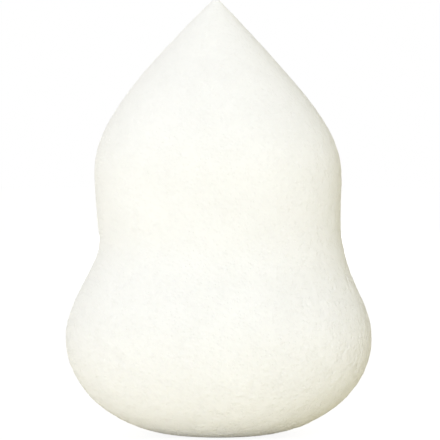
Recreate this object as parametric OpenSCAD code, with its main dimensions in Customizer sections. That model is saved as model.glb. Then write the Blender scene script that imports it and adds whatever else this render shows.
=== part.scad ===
// Gourd-shaped makeup sponge, ground from one piece of open-cell foam.
// It is round about the Z axis and stands on its foot at Z = 0, with the tip up.

/* [Overall] */
// Height from the foot to the top of the tip
sponge_h = 60; // [54:0.5:72]

/* [Belly] */
// Width of the lower bulb at its widest ring
belly_w = 42.1; // [36:0.1:50]
// Height of the widest ring above the foot
belly_h = 13.4; // [11:0.1:18]
// How far the heel swells out to its corner: 0.5 is slack and 0.9 is nearly square
heel_fullness = 0.7; // [0.5:0.01:0.9]
// Width of the flat spot that the sponge stands on
foot_w = 8.8; // [6:0.2:16]

/* [Waist] */
// Width of the waist, where the fingers hold it
waist_w = 33.3; // [26:0.1:36]
// Height of the waist above the foot
waist_h = 27.4; // [22:0.1:31]

/* [Shoulder] */
// Width of the upper bulb at its widest ring
shoulder_w = 33.9; // [28:0.1:40]
// Height of that ring above the foot
shoulder_h = 35.6; // [33:0.1:40]
// How far the flank swells out between the shoulder and the tip: 0.8 is lean and 2 is nearly a corner
flank_fullness = 1.5; // [0.8:0.05:2]

/* [Tip] */
// Full angle of the cone that the flanks make at the tip
tip_angle = 89; // [84:1:110]
// Radius of the rounded point
tip_r = 0.4; // [0.2:0.1:2]

/* [Hidden] */

// Ivory of the undyed foam
foam_colour = [0.97, 0.96, 0.89];

// How finely each stretch of the outline is stepped
heel_steps = 18;
waist_steps = 14;
shoulder_steps = 6;
flank_steps = 18;
tip_steps = 4;
// How finely the outline is turned about the axis
$fn = 96;

// Half widths, measured from the axis
belly_r = belly_w / 2;
waist_r = waist_w / 2;
shoulder_r = shoulder_w / 2;
foot_r = foot_w / 2;

// Where the flank runs into the rounded point
flank_lean = tip_angle / 2;
tip_edge = [
    tip_r * cos(flank_lean),
    sponge_h - tip_r * (1 - sin(flank_lean))
];
// Height at which the upright at the shoulder would meet the line of the tip's cone
flank_corner_h = tip_edge[1] - (shoulder_r - tip_edge[0]) / tan(flank_lean);

// Point at share t of a conic arc: it leaves start towards corner and comes from corner to finish.
function conic(start, corner, finish, fullness, t) =
    (pow(1 - t, 2) * start + 2 * fullness * t * (1 - t) * corner + pow(t, 2) * finish)
    / (pow(1 - t, 2) + 2 * fullness * t * (1 - t) + pow(t, 2));

// Point at share t of an S-curve that leaves start and reaches finish upright.
function s_curve(start, finish, t) = [
    start[0] + (finish[0] - start[0]) * (1 - cos(180 * t)) / 2,
    start[1] + (finish[1] - start[1]) * t
];

// Each stretch leaves out its first point, which is the last one of the stretch below it.
heel = [
    for (i = [1 : heel_steps])
        conic([foot_r, 0], [belly_r, 0], [belly_r, belly_h], heel_fullness, i / heel_steps)
];
waist = [
    for (i = [1 : waist_steps])
        s_curve([belly_r, belly_h], [waist_r, waist_h], i / waist_steps)
];
shoulder = [
    for (i = [1 : shoulder_steps])
        s_curve([waist_r, waist_h], [shoulder_r, shoulder_h], i / shoulder_steps)
];
flank = [
    for (i = [1 : flank_steps])
        conic(
            [shoulder_r, shoulder_h], [shoulder_r, flank_corner_h], tip_edge,
            flank_fullness, i / flank_steps
        )
];
// The rounded point turns from the flank's slope to level at the axis.
tip = [
    for (i = [1 : tip_steps - 1])
        let (turned = flank_lean + (90 - flank_lean) * i / tip_steps)
            [tip_r * cos(turned), sponge_h - tip_r * (1 - sin(turned))]
];

// The sponge: one outline, from the foot's centre up to the tip, turned about the axis.
module sponge_body() {
    color(foam_colour)
        rotate_extrude()
            polygon(concat(
                [[0, 0], [foot_r, 0]],
                heel, waist, shoulder, flank, tip,
                [[0, sponge_h]]
            ));
}

sponge_body();
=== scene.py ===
"""A gourd-shaped makeup sponge, ground from one piece of open-cell foam, on a plain white table."""

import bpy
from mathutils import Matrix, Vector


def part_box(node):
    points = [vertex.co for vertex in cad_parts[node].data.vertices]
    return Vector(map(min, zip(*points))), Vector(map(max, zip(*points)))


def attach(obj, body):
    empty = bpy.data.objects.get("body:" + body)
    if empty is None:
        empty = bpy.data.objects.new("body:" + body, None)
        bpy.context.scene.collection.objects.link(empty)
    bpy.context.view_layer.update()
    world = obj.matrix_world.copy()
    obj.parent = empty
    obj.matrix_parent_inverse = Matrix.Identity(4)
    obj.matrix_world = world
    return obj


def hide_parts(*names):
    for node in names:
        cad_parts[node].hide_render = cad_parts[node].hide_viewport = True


bl_info = {
    "name": "Makeup Sponge",
    "version": (1, 0, 0),
    "blender": (4, 5, 0),
    "location": "3D View > Sidebar > Sponge",
    "description": "Makes a gourd-shaped makeup sponge of open-cell foam and a plain studio stage",
    "category": "Add Mesh",
}

import math

import bpy
import numpy as np
from bpy.props import FloatProperty, FloatVectorProperty, IntProperty, PointerProperty
from mathutils import Vector, noise

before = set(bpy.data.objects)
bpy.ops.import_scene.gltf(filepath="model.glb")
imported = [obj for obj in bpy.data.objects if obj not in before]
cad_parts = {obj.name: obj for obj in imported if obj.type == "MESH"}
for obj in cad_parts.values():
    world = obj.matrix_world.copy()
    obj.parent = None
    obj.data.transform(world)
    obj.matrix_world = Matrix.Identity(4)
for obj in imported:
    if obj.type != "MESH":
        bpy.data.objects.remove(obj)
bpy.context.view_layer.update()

MM = 0.001
WHITE = (1, 1, 1)

FOAM_NODE = "sponge_body"
FOOT, TIP = (corner.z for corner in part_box(FOAM_NODE))
SPONGE_HEIGHT = TIP - FOOT
MIDDLE = Vector((0, 0, (FOOT + TIP) / 2))

# The photograph's frame, and the middle and height of the sponge in it, in pixels
PHOTO_SIDE = 440
PHOTO_MIDDLE_X = 218.7
PHOTO_MIDDLE_Y = 216.3
PHOTO_HEIGHT = 436.5

# Decimals to which two heights of the solid, or two directions, have to agree to count as one
HEIGHT_DECIMALS = 6
DIRECTION_DECIMALS = 7
# Steps in which the outline is walked to share out the sponge's area
OUTLINE_STEPS = 4000
# How far along the outline its slope is felt for at a point, as a share of the whole outline
SLOPE_REACH = 1e-4
# Closer to the axis than this, on a unit sphere, a direction points at neither side
ON_AXIS = 1e-9
# Room between the pieces of the map, in quads
MAP_GAP = 4

# The foot stays flat, and the grinding fades in over this height above it
FOOT_FADE = 1.5 * MM
# Where the foam leans most, and how far up and down each lean reaches, as shares of the height
WAIST_LEAN_AT = 0.424
WAIST_LEAN_REACH = 0.055
TIP_LEAN_AT = 0.865
TIP_LEAN_REACH = 0.21
# How bold the grain is at the heel and at the tip, as shares of its set depth
HEEL_GRAIN = 1.4
TIP_GRAIN = 0.5
# Layers of noise in the ripples and in the grain, and how fast the finer layers fade
RIPPLE_LAYERS = 3
RIPPLE_FADE = 1.0
GRAIN_LAYERS = 2
GRAIN_FADE = 0.6
# How much finer each layer is than the one before
LAYER_STEP = 2.0
# Radius of the smallest bubble as a share of the largest
SMALLEST_BUBBLE = 0.35
# Spreads the bubbles' centres, so that each draws a radius of its own
BUBBLE_DRAW = 7.3

# Radius of the smallest cell as a share of the largest, and waves per cell in its torn rim
SMALLEST_CELL = 0.4
TEAR_WAVES = 2.5
# Radius of the largest fine cell and of the largest pore, as shares of their spacing
CELL_OPENING = 0.66
PORE_OPENING = 0.3
# Noise that counts as none and as full, because noise seldom leaves this range
NOISE_RANGE = (0.3, 0.7)
# Noise in three directions that pulls neither way
NOISE_MIDDLE = (0.5, 0.5, 0.5)
# Clouds in the shade of the foam, and speckle on its skin
CLOUD_SIZE = 6 * MM
CLOUD_DETAIL = 3.0
SPECKLE_SIZE = 0.6 * MM
SPECKLE_DETAIL = 2.0
# How far a cell and a pore turn to the hollow colour, a painted shade in them, and how much the
# clouds darken the foam
CELL_SHADE = 0.02
PORE_SHADE = 0.04
CLOUD_SHADE = 0.03
# Roughness where the speckle is low, and what the speckle adds
SMOOTHEST = 0.9
SPECKLE_ROUGHNESS = 0.08
# Depth of the fine cells and height of the speckle, against a pore's depth of 1
CELL_RELIEF = 1.6
SPECKLE_RELIEF = 1.4
# How the foam takes light, on the shader's own sockets
FOAM_LIGHT = {
    "Diffuse Roughness": 1.0,
    "Specular IOR Level": 0.2,
    "Sheen Roughness": 0.5,
    "Subsurface Weight": 0.4,
    "Subsurface Radius": (1, 1, 1),
}

# From the middle of the table to its sides, and how dull its top is
TABLE_REACH = 2.0
TABLE_ROUGHNESS = 0.9
# Light to spare on the table, so that it is fully white wherever no shadow falls
WHITE_RESERVE = 1.15
# The camera sees nothing closer than this
NEAREST_SEEN = 0.01


class SpongeShape(bpy.types.PropertyGroup):
    """How the ground foam differs from the exact solid of revolution."""

    quads_across: IntProperty(
        name="Quads Across",
        description="Faces along a quarter of the way round",
        default=102,
        min=8,
    )
    quads_up: IntProperty(
        name="Quads Up",
        description="Faces from the heel to the flank",
        default=192,
        min=8,
    )
    waist_lean: FloatProperty(
        name="Waist Lean",
        description="How far the waist is ground off to the side",
        default=0.32 * MM,
        unit="LENGTH",
        precision=5,
    )
    tip_lean: FloatProperty(
        name="Tip Lean",
        description="How far the flanks below the tip lean to the side",
        default=-0.54 * MM,
        unit="LENGTH",
        precision=5,
    )
    ripple_size: FloatProperty(
        name="Ripple Size",
        description="Distance between the soft unevennesses that grinding leaves",
        default=9 * MM,
        min=0.1 * MM,
        unit="LENGTH",
        precision=5,
    )
    ripple_height: FloatProperty(
        name="Ripple Height",
        description="How far those unevennesses rise and sink",
        default=0.05 * MM,
        unit="LENGTH",
        precision=5,
    )
    grain_size: FloatProperty(
        name="Grain Size",
        description="Distance between the lumps of the foam's grain",
        default=1.1 * MM,
        min=0.1 * MM,
        unit="LENGTH",
        precision=5,
    )
    grain_depth: FloatProperty(
        name="Grain Depth",
        description="How far the grain rises and sinks",
        default=0.048 * MM,
        unit="LENGTH",
        precision=5,
    )
    bubble_spacing: FloatProperty(
        name="Bubble Spacing",
        description="Distance between the few large bubbles in the foam",
        default=2.4 * MM,
        min=0.1 * MM,
        unit="LENGTH",
        precision=5,
    )
    bubble_radius: FloatProperty(
        name="Bubble Radius",
        description="Radius of the largest of these bubbles, which the surface cuts open",
        default=0.55 * MM,
        unit="LENGTH",
        precision=5,
    )
    bubble_depth: FloatProperty(
        name="Bubble Depth",
        description="Depth of a bubble that is cut through its middle",
        default=0.06 * MM,
        unit="LENGTH",
        precision=5,
    )


class FoamFinish(bpy.types.PropertyGroup):
    """Colours and fine texture of the foam."""

    foam_colour: FloatVectorProperty(
        name="Foam Colour",
        description="Ivory of the undyed foam",
        default=(0.92, 0.919, 0.86),
        subtype="COLOR",
        min=0,
        max=1,
    )
    # Painted shade: the cells and pores take this darker, warmer colour, as if shade fell in them.
    hollow_shade_colour: FloatVectorProperty(
        name="Hollow Colour",
        description="Deeper cream inside the open cells",
        default=(0.74, 0.735, 0.675),
        subtype="COLOR",
        min=0,
        max=1,
    )
    cell_size: FloatProperty(
        name="Cell Size",
        description="Distance between the foam's fine open cells",
        default=0.5 * MM,
        min=0.05 * MM,
        unit="LENGTH",
        precision=5,
    )
    cell_depth: FloatProperty(
        name="Cell Depth",
        description="Depth that the relief of the cells, pores and speckle is measured in",
        default=0.034 * MM,
        unit="LENGTH",
        precision=5,
    )
    pore_size: FloatProperty(
        name="Pore Size",
        description="Distance between the larger, scattered pores",
        default=1.3 * MM,
        min=0.05 * MM,
        unit="LENGTH",
        precision=5,
    )
    fuzz: FloatProperty(
        name="Fuzz",
        description="How much light the torn cell walls catch at a glancing angle",
        default=0.1,
        min=0,
        max=1,
    )
    glow_depth: FloatProperty(
        name="Glow Depth",
        description="How far light spreads inside the foam",
        default=1.2 * MM,
        unit="LENGTH",
        precision=5,
    )


class SpongeStage(bpy.types.PropertyGroup):
    """Table, lights and camera."""

    table_colour: FloatVectorProperty(
        name="Table Colour",
        description="Warm white of the table, as the light from it reaches the sponge",
        default=(0.93, 0.88, 0.68),
        subtype="COLOR",
        min=0,
        max=1,
    )
    shadow_depth: FloatProperty(
        name="Shadow Depth",
        description="How much darker than white the deepest shadow on the table looks",
        default=0.1,
        min=0,
        max=0.5,
    )
    ambient: FloatProperty(
        name="Ambient Light",
        description="Strength of the even light from all round",
        default=0.54,
        min=0.01,
    )
    ambient_colour: FloatVectorProperty(
        name="Ambient Colour",
        description="Colour of the even light from all round",
        default=(1.0, 0.98, 0.87),
        subtype="COLOR",
        min=0,
        max=1,
    )
    key_power: FloatProperty(
        name="Key Power",
        description="Power of the softbox in front",
        default=5.22,
        min=0,
        unit="POWER",
    )
    key_colour: FloatVectorProperty(
        name="Key Colour",
        description="Colour of the softbox in front, cooler than the even light",
        default=(0.79, 0.82, 1.0),
        subtype="COLOR",
        min=0,
        max=1,
    )
    key_azimuth: FloatProperty(
        name="Key Azimuth",
        description="How far the key light stands round from the front",
        default=math.radians(-12),
        subtype="ANGLE",
    )
    fill_power: FloatProperty(
        name="Fill Power",
        description="Power of the weak softbox on the right",
        default=0.6,
        min=0,
        unit="POWER",
    )
    fill_azimuth: FloatProperty(
        name="Fill Azimuth",
        description="How far the fill light stands round from the front",
        default=math.radians(75),
        subtype="ANGLE",
    )
    rim_power: FloatProperty(
        name="Rim Power",
        description="Power of the softbox behind the sponge",
        default=2.83,
        min=0,
        unit="POWER",
    )
    rim_colour: FloatVectorProperty(
        name="Rim Colour",
        description="Colour of the softbox behind the sponge, a little cooler than the even light",
        default=(0.92, 0.92, 1.0),
        subtype="COLOR",
        min=0,
        max=1,
    )
    rim_azimuth: FloatProperty(
        name="Rim Azimuth",
        description="How far the rim light stands round from the front",
        default=math.radians(180),
        subtype="ANGLE",
    )
    lamp_elevation: FloatProperty(
        name="Lamp Elevation",
        description="How high the softboxes stand over the middle of the sponge",
        default=math.radians(8.5),
        subtype="ANGLE",
    )
    lamp_distance: FloatProperty(
        name="Lamp Distance",
        description="From the softboxes to the middle of the sponge",
        default=0.9,
        min=0.1,
        unit="LENGTH",
    )
    lamp_side: FloatProperty(
        name="Lamp Side",
        description="Side of each square softbox",
        default=0.3,
        min=0.01,
        unit="LENGTH",
    )
    camera_distance: FloatProperty(
        name="Camera Distance",
        description="From the camera to the middle of the sponge",
        default=0.45,
        min=0.05,
        unit="LENGTH",
    )
    camera_elevation: FloatProperty(
        name="Camera Elevation",
        description="Angle at which the camera looks down",
        default=math.radians(1.5),
        subtype="ANGLE",
    )


class MakeupSponge(bpy.types.PropertyGroup):
    """Everything that a user would change."""

    shape: PointerProperty(type=SpongeShape, name="Shape", description="How the foam is ground")
    finish: PointerProperty(type=FoamFinish, name="Finish", description="Colours and cells")
    stage: PointerProperty(type=SpongeStage, name="Stage", description="Table, lights and camera")


def cad_outline():
    """Radii and heights along the solid's outline, from the middle of the foot up to the tip."""
    corners = np.array([v.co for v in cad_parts[FOAM_NODE].data.vertices])
    radii = np.hypot(corners[:, 0], corners[:, 1])
    heights = corners[:, 2].round(HEIGHT_DECIMALS)
    levels = np.unique(heights)
    widest = [radii[heights == level].max() for level in levels]
    widest[-1] = 0
    return np.concatenate([[0], widest]), np.concatenate([[FOOT], levels])


def smooth_along(stations, values, places):
    """The values at these places, on a smooth curve through the values at the stations."""
    slopes = np.gradient(values, stations)
    low = np.clip(np.searchsorted(stations, places) - 1, 0, len(stations) - 2)
    step = stations[low + 1] - stations[low]
    t = (places - stations[low]) / step
    return (
        (2 * t**3 - 3 * t**2 + 1) * values[low]
        + (t**3 - 2 * t**2 + t) * step * slopes[low]
        + (3 * t**2 - 2 * t**3) * values[low + 1]
        + (t**3 - t**2) * step * slopes[low + 1]
    )


def cube_patches(across, up):
    """The faces of a cube as grids of directions: four sides in turn, then the top and the foot."""
    eighth = math.pi / 4
    even_across = np.tan(np.linspace(-eighth, eighth, across + 1))
    even_up = np.tan(np.linspace(-eighth, eighth, up + 1))
    skyward = np.array([0, 0, 1.0])
    patches = []
    # The first side starts at the back, so the map's one upright seam lies there.
    for turn in range(4):
        facing = math.radians(135 + 90 * turn)
        out = np.array([math.cos(facing), math.sin(facing), 0])
        along = np.array([-math.sin(facing), math.cos(facing), 0])
        patches.append((out, along, skyward, even_across, even_up))
    east = np.array([math.cos(eighth), math.sin(eighth), 0])
    north = np.array([-east[1], east[0], 0])
    patches.append((skyward, east, north, even_across, even_across))
    patches.append((-skyward, east, -north, even_across, even_across))
    grids = []
    for out, along, upward, shares, rises in patches:
        grid = out + shares[:, None, None] * along + rises[None, :, None] * upward
        grids.append(grid / np.linalg.norm(grid, axis=2, keepdims=True))
    return grids


def patch_maps(across, up):
    """Where each patch lies on the map: the four sides in one strip over the top and the foot."""
    side = 4 * across + 2 * MAP_GAP
    corners = [(MAP_GAP + turn * across, 2 * MAP_GAP + across) for turn in range(4)]
    corners += [(MAP_GAP, MAP_GAP), (2 * MAP_GAP + across, MAP_GAP)]
    sizes = [(across, up)] * 4 + [(across, across)] * 2
    maps = []
    for (left, low), (wide, high) in zip(corners, sizes):
        u, v = np.meshgrid(
            left + np.arange(wide + 1), low + np.arange(high + 1), indexing="ij"
        )
        maps.append(np.stack([u, v], axis=2) / side)
    return maps


def welded(grids, maps):
    """One list of directions with no doubles, its quads, and each quad corner's place on the map."""
    directions = np.concatenate([grid.reshape(-1, 3) for grid in grids])
    places = np.concatenate([patch.reshape(-1, 2) for patch in maps])
    quads, first = [], 0
    for grid in grids:
        wide, high = grid.shape[:2]
        index = first + np.arange(wide * high).reshape(wide, high)
        loop = [index[:-1, :-1], index[1:, :-1], index[1:, 1:], index[:-1, 1:]]
        quads.append(np.stack(loop, axis=2).reshape(-1, 4))
        first += wide * high
    quads = np.concatenate(quads)
    _, kept, same = np.unique(
        directions.round(DIRECTION_DECIMALS), axis=0, return_index=True, return_inverse=True
    )
    return directions[kept], same.ravel()[quads], places[quads]


def exact_surface(directions):
    """Points on the exact solid for these directions, evenly spread, and the normals there."""
    radii, heights = cad_outline()
    stations = np.concatenate([[0], np.cumsum(np.hypot(np.diff(radii), np.diff(heights)))])
    walk = np.linspace(0, stations[-1], OUTLINE_STEPS)
    walked_radii = smooth_along(stations, radii, walk).clip(0)
    area = np.concatenate([[0], np.cumsum((walked_radii[1:] + walked_radii[:-1]) / 2)])

    # A direction's height on the unit sphere gives the share of the sphere's area below it.
    along = np.interp((1 + directions[:, 2]) / 2, area / area[-1], walk)
    radius = smooth_along(stations, radii, along).clip(0)
    height = smooth_along(stations, heights, along)
    nearby = stations[-1] * SLOPE_REACH
    before, after = (along - nearby).clip(0), (along + nearby).clip(None, stations[-1])
    run = smooth_along(stations, radii, after) - smooth_along(stations, radii, before)
    rise = smooth_along(stations, heights, after) - smooth_along(stations, heights, before)

    flat = np.hypot(directions[:, 0], directions[:, 1])
    flat[flat < ON_AXIS] = 1
    east, north = directions[:, 0] / flat, directions[:, 1] / flat
    points = np.stack([radius * east, radius * north, height], axis=1)
    normals = np.stack([rise * east, rise * north, -run], axis=1)
    return points, normals / np.hypot(run, rise)[:, None]


def height_shares(heights):
    """Heights as shares of the sponge's height, from 0 at the foot to 1 at the tip."""
    return (heights - FOOT) / SPONGE_HEIGHT


def lean_at(heights, shape):
    """How far the foam stands off its axis: one way at the waist, the other way below the tip."""
    shares = height_shares(heights)
    waist = np.exp(-(((shares - WAIST_LEAN_AT) / WAIST_LEAN_REACH) ** 2))
    flank = np.exp(-(((shares - TIP_LEAN_AT) / TIP_LEAN_REACH) ** 2))
    return shape.waist_lean * waist + shape.tip_lean * flank


def ground_offsets(points, shape):
    """How far the ground surface lies outside the exact one at each point."""
    offsets = np.empty(len(points))
    boldness = HEEL_GRAIN + (TIP_GRAIN - HEEL_GRAIN) * height_shares(points[:, 2])
    for i, point in enumerate(points):
        place = Vector(point)
        ripple = noise.fractal(place / shape.ripple_size, RIPPLE_FADE, LAYER_STEP, RIPPLE_LAYERS)
        grain = noise.fractal(place / shape.grain_size, GRAIN_FADE, LAYER_STEP, GRAIN_LAYERS)
        distances, centres = noise.voronoi(place / shape.bubble_spacing)
        drawn = abs(noise.cell(centres[0] * BUBBLE_DRAW))
        radius = shape.bubble_radius * (SMALLEST_BUBBLE + (1 - SMALLEST_BUBBLE) * drawn)
        inside = max(0.0, 1 - (distances[0] * shape.bubble_spacing / radius) ** 2)
        offsets[i] = (
            shape.ripple_height * ripple
            + shape.grain_depth * grain * boldness[i]
            - shape.bubble_depth * inside
        )
    return offsets


def foam_mesh(shape):
    """The sponge's mesh: even quads on the exact solid, ground uneven, with a map."""
    grids = cube_patches(shape.quads_across, shape.quads_up)
    maps = patch_maps(shape.quads_across, shape.quads_up)
    directions, quads, places = welded(grids, maps)
    points, normals = exact_surface(directions)

    heights = points[:, 2].copy()
    fade = np.clip((heights - FOOT) / FOOT_FADE, 0, 1)
    offsets = ground_offsets(points, shape) * fade**2 * (3 - 2 * fade)
    points += normals * offsets[:, None]
    points[:, 0] += lean_at(heights, shape)
    points[:, 2] = points[:, 2].clip(FOOT, TIP)

    mesh = bpy.data.meshes.new("sponge_foam")
    mesh.from_pydata(points.tolist(), [], quads.tolist())
    mesh.shade_smooth()
    chart = mesh.uv_layers.new(name="OFBake")
    chart.uv.foreach_set("vector", places.astype(np.float32).ravel())
    mesh.update()
    return mesh


def new_group(name, inputs, output):
    """An empty shader node group with these inputs and one output, and its two end nodes."""
    group = bpy.data.node_groups.new(name, "ShaderNodeTree")
    for label, kind, default in inputs:
        socket = group.interface.new_socket(label, in_out="INPUT", socket_type=kind)
        if default is not None:
            socket.default_value = default
    group.interface.new_socket(output, in_out="OUTPUT", socket_type="NodeSocketFloat")
    return group, group.nodes.new("NodeGroupInput"), group.nodes.new("NodeGroupOutput")


def new_node(tree, kind, *values, **settings):
    """A shader node with these settings, its inputs fed in turn with sockets or plain values."""
    node = tree.nodes.new("ShaderNode" + kind)
    for name, setting in settings.items():
        setattr(node, name, setting)
    for socket, value in zip([s for s in node.inputs if s.enabled], values):
        if isinstance(value, bpy.types.NodeSocket):
            tree.links.new(value, socket)
        else:
            socket.default_value = value
    return node


def math_result(tree, operation, *values, clamp=False):
    """The result of a Math node on sockets or plain numbers."""
    return new_node(tree, "Math", *values, operation=operation, use_clamp=clamp).outputs[0]


def vector_result(tree, operation, *values):
    """The result of a Vector Math node on sockets or plain values."""
    return new_node(tree, "VectorMath", *values, operation=operation).outputs[0]


def colour_mix(tree, blend, *values):
    """The result of a colour mix: a factor and two colours, as sockets or plain values."""
    node = new_node(tree, "Mix", *values, data_type="RGBA", blend_type=blend)
    return next(socket for socket in node.outputs if socket.enabled)


def open_cells_group():
    """Open Cells: ragged bubbles of random size round scattered centres, cut by the surface."""
    group, given, result = new_group(
        "Open Cells",
        [
            ("Vector", "NodeSocketVector", None),
            ("Spacing", "NodeSocketFloat", 0.4 * MM),
            ("Opening", "NodeSocketFloat", 0.5),
            ("Raggedness", "NodeSocketFloat", 0.3),
        ],
        "Depth",
    )
    vector, spacing, opening, raggedness = list(given.outputs)[:4]
    scaled = vector_result(group, "SCALE", vector, math_result(group, "DIVIDE", 1.0, spacing))
    torn = new_node(group, "TexNoise", scaled, TEAR_WAVES).outputs["Color"]
    evened = vector_result(group, "SUBTRACT", torn, NOISE_MIDDLE)
    pulled = vector_result(group, "MULTIPLY_ADD", evened, raggedness, scaled)
    cells = new_node(group, "TexVoronoi", pulled, 1.0)
    drawn = new_node(group, "SeparateColor", cells.outputs["Color"]).outputs[0]
    size = math_result(group, "MULTIPLY_ADD", drawn, 1 - SMALLEST_CELL, SMALLEST_CELL)
    radius = math_result(group, "MULTIPLY", size, opening)
    share = math_result(group, "DIVIDE", cells.outputs["Distance"], radius)
    squared = math_result(group, "MULTIPLY", share, share)
    depth = math_result(group, "SUBTRACT", 1.0, squared, clamp=True)
    group.links.new(depth, result.inputs["Depth"])
    return group


def mottle_group():
    """Mottle: a soft, cloudy variation from 0 to 1."""
    group, given, result = new_group(
        "Mottle",
        [
            ("Vector", "NodeSocketVector", None),
            ("Size", "NodeSocketFloat", 4 * MM),
            ("Detail", "NodeSocketFloat", 3.0),
        ],
        "Factor",
    )
    vector, size, detail = list(given.outputs)[:3]
    fineness = math_result(group, "DIVIDE", 1.0, size)
    clouds = new_node(group, "TexNoise", vector, fineness, detail).outputs["Fac"]
    spread = new_node(group, "MapRange", clouds, *NOISE_RANGE)
    group.links.new(spread.outputs["Result"], result.inputs["Factor"])
    return group


def placed(tree, group, place, **values):
    """The output of a node group in a material, fed with a place and its own values."""
    node = new_node(tree, "Group", node_tree=group)
    tree.links.new(place, node.inputs["Vector"])
    for label, value in values.items():
        node.inputs[label].default_value = value
    return node.outputs[0]


def foam_material(finish):
    """Ground ivory foam: fine open cells and a few larger pores with painted shade in them, and
    light that spreads inside it.
    """
    cells, mottle = open_cells_group(), mottle_group()
    material = bpy.data.materials.new("ground_foam")
    material.use_nodes = True
    tree = material.node_tree
    shader = tree.nodes["Principled BSDF"]
    place = new_node(tree, "TexCoord").outputs["Object"]

    fine = placed(tree, cells, place, Spacing=finish.cell_size, Opening=CELL_OPENING)
    pores = placed(tree, cells, place, Spacing=finish.pore_size, Opening=PORE_OPENING)
    clouds = placed(tree, mottle, place, Size=CLOUD_SIZE, Detail=CLOUD_DETAIL)
    speckle = placed(tree, mottle, place, Size=SPECKLE_SIZE, Detail=SPECKLE_DETAIL)

    # Painted shade: the cells and pores turn towards the darker, warmer hollow colour, as if shade
    # fell in them.
    cell_shading = math_result(tree, "MULTIPLY", fine, CELL_SHADE)
    pore_shading = math_result(tree, "MULTIPLY", pores, PORE_SHADE)
    painted_hollow_shade = math_result(tree, "MAXIMUM", cell_shading, pore_shading)
    foam = colour_mix(tree, "MIX", painted_hollow_shade, (*finish.foam_colour, 1), (*finish.hollow_shade_colour, 1))
    shade = math_result(tree, "MULTIPLY_ADD", clouds, CLOUD_SHADE, 1 - CLOUD_SHADE)
    tree.links.new(colour_mix(tree, "MULTIPLY", 1.0, foam, shade), shader.inputs["Base Color"])

    rough = math_result(tree, "MULTIPLY_ADD", speckle, SPECKLE_ROUGHNESS, SMOOTHEST)
    tree.links.new(rough, shader.inputs["Roughness"])

    # The cells and pores sink in and the speckle stands out, most of all at the heel.
    sunk = math_result(tree, "MULTIPLY_ADD", fine, CELL_RELIEF, pores)
    raised = math_result(tree, "MULTIPLY", speckle, SPECKLE_RELIEF)
    height = new_node(tree, "SeparateXYZ", place).outputs["Z"]
    bolder = new_node(tree, "MapRange", height, FOOT, TIP, HEEL_GRAIN, TIP_GRAIN).outputs["Result"]
    relief = math_result(tree, "MULTIPLY", math_result(tree, "SUBTRACT", raised, sunk), bolder)
    bump = new_node(tree, "Bump")
    bump.inputs["Distance"].default_value = finish.cell_depth
    tree.links.new(relief, bump.inputs["Height"])
    tree.links.new(bump.outputs["Normal"], shader.inputs["Normal"])

    for label, value in FOAM_LIGHT.items():
        shader.inputs[label].default_value = value
    shader.inputs["Sheen Weight"].default_value = finish.fuzz
    shader.inputs["Sheen Tint"].default_value = (*finish.foam_colour, 1)
    shader.inputs["Subsurface Scale"].default_value = finish.glow_depth
    return material


class SPONGE_OT_foam(bpy.types.Operator):
    """Grind the sponge from one piece of foam"""

    bl_idname = "makeup_sponge.foam"
    bl_label = "Foam Body"

    def execute(self, context):
        settings = context.scene.makeup_sponge
        foam = bpy.data.objects.new("sponge_foam", foam_mesh(settings.shape))
        context.scene.collection.objects.link(foam)
        foam.data.materials.append(foam_material(settings.finish))
        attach(foam, "root")
        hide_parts(FOAM_NODE)
        return {"FINISHED"}


def backdrop_white(tree, lit, shown):
    """One surface for the camera and for reflections, and another that light falls on."""
    path = new_node(tree, "LightPath").outputs
    seen = math_result(tree, "MAXIMUM", path["Is Camera Ray"], path["Is Glossy Ray"])
    seen = math_result(tree, "MAXIMUM", seen, path["Is Transmission Ray"])
    return new_node(tree, "MixShader", seen, lit, shown).outputs[0]


def table_material(stage):
    """White table: plain to the light, and to the camera white with a faint shadow."""
    material = bpy.data.materials.new("white_table")
    material.use_nodes = True
    tree = material.node_tree
    plain = tree.nodes["Principled BSDF"]
    plain.inputs["Base Color"].default_value = (*stage.table_colour, 1)
    plain.inputs["Roughness"].default_value = TABLE_ROUGHNESS
    plain.inputs["Specular IOR Level"].default_value = 0
    # What the camera sees is white where the light falls in full, and less so in the shadow.
    glow = new_node(tree, "Emission", (*WHITE, 1), 1 - stage.shadow_depth)
    share = WHITE_RESERVE * stage.shadow_depth / stage.ambient
    caught = new_node(tree, "BsdfDiffuse", (share, share, share, 1))
    shown = new_node(tree, "AddShader", glow.outputs[0], caught.outputs[0])
    surface = backdrop_white(tree, plain.outputs[0], shown.outputs[0])
    tree.links.new(surface, tree.nodes["Material Output"].inputs["Surface"])
    return material


def white_table(stage):
    """The table's flat top, level with the sponge's foot."""
    near, far = -TABLE_REACH, TABLE_REACH
    corners = [(near, near, FOOT), (far, near, FOOT), (far, far, FOOT), (near, far, FOOT)]
    mesh = bpy.data.meshes.new("table")
    mesh.from_pydata(corners, [], [(0, 1, 2, 3)])
    mesh.materials.append(table_material(stage))
    return bpy.data.objects.new("table", mesh)


def studio_world(stage):
    """Even light from all round, which the camera sees as plain white."""
    world = bpy.data.worlds.new("studio")
    world.use_nodes = True
    tree = world.node_tree
    lit = tree.nodes["Background"]
    lit.inputs["Color"].default_value = (*stage.ambient_colour, 1)
    lit.inputs["Strength"].default_value = stage.ambient
    white = new_node(tree, "Background", (*WHITE, 1))
    surface = backdrop_white(tree, lit.outputs[0], white.outputs[0])
    tree.links.new(surface, tree.nodes["World Output"].inputs["Surface"])
    return world


def seen_from(azimuth, elevation):
    """The direction from the sponge to something at these angles. Azimuth 0 is the front."""
    return Vector(
        (
            math.sin(azimuth) * math.cos(elevation),
            -math.cos(azimuth) * math.cos(elevation),
            math.sin(elevation),
        )
    )


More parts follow.
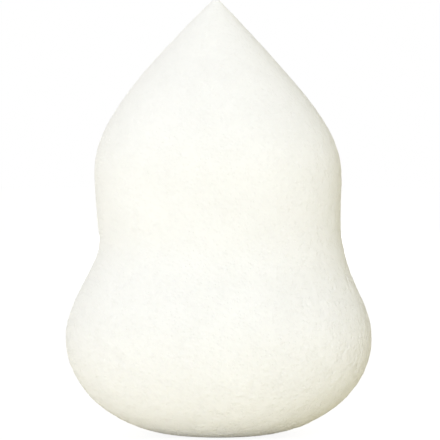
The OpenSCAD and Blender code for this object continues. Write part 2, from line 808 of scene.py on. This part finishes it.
def softbox(stage, name, azimuth, power, colour):
    """A square soft light just above the table, which faces the middle of the sponge."""
    light = bpy.data.lights.new(name, "AREA")
    light.size = stage.lamp_side
    light.energy = power
    light.color = colour
    lamp = bpy.data.objects.new(name, light)
    towards = seen_from(azimuth, stage.lamp_elevation)
    lamp.location = MIDDLE + towards * stage.lamp_distance
    lamp.rotation_euler = towards.to_track_quat("Z", "Y").to_euler()
    return lamp


def studio_camera(stage):
    """A camera at the photograph's angle, framed to put the sponge where the photograph has it."""
    lens = bpy.data.cameras.new("camera")
    pixels_per_metre = PHOTO_HEIGHT / SPONGE_HEIGHT
    seen_side = PHOTO_SIDE / pixels_per_metre
    lens.angle = 2 * math.atan(seen_side / 2 / stage.camera_distance)
    lens.clip_start = NEAREST_SEEN
    camera = bpy.data.objects.new("camera", lens)
    back = seen_from(0, stage.camera_elevation)
    turn = back.to_track_quat("Z", "Y")
    off_right = (PHOTO_SIDE / 2 - PHOTO_MIDDLE_X) / pixels_per_metre
    off_up = (PHOTO_MIDDLE_Y - PHOTO_SIDE / 2) / pixels_per_metre
    aim = MIDDLE + turn @ Vector((off_right, off_up, 0))
    camera.location = aim + back * stage.camera_distance
    camera.rotation_euler = turn.to_euler()
    return camera


class SPONGE_OT_stage(bpy.types.Operator):
    """Set up the white table, the soft lights and the camera"""

    bl_idname = "makeup_sponge.stage"
    bl_label = "Table, Lights and Camera"

    def execute(self, context):
        scene = context.scene
        stage = scene.makeup_sponge.stage
        scene.world = studio_world(stage)
        scene.view_settings.view_transform = "Standard"

        table = white_table(stage)
        key = softbox(stage, "key", stage.key_azimuth, stage.key_power, stage.key_colour)
        fill = softbox(stage, "fill", stage.fill_azimuth, stage.fill_power, WHITE)
        rim = softbox(stage, "rim", stage.rim_azimuth, stage.rim_power, stage.rim_colour)
        camera = studio_camera(stage)
        for piece in (table, key, fill, rim, camera):
            scene.collection.objects.link(piece)
        scene.camera = camera
        return {"FINISHED"}


class SPONGE_PT_panel(bpy.types.Panel):
    """The sponge's settings and the buttons that make it"""

    bl_label = "Makeup Sponge"
    bl_idname = "SPONGE_PT_panel"
    bl_space_type = "VIEW_3D"
    bl_region_type = "UI"
    bl_category = "Sponge"

    def draw(self, context):
        settings = context.scene.makeup_sponge
        for group, operator in (
            (settings.shape, None),
            (settings.finish, SPONGE_OT_foam),
            (settings.stage, SPONGE_OT_stage),
        ):
            box = self.layout.box()
            for name in group.__annotations__:
                box.prop(group, name)
            if operator:
                box.operator(operator.bl_idname)


CLASSES = (
    SpongeShape,
    FoamFinish,
    SpongeStage,
    MakeupSponge,
    SPONGE_OT_foam,
    SPONGE_OT_stage,
    SPONGE_PT_panel,
)


def register():
    for cls in CLASSES:
        bpy.utils.register_class(cls)
    bpy.types.Scene.makeup_sponge = PointerProperty(type=MakeupSponge)


def unregister():
    del bpy.types.Scene.makeup_sponge
    for cls in reversed(CLASSES):
        bpy.utils.unregister_class(cls)


def main():
    """Makes the sponge and its stage."""
    register()
    bpy.ops.makeup_sponge.foam()
    bpy.ops.makeup_sponge.stage()


if __name__ == "__main__":
    main()
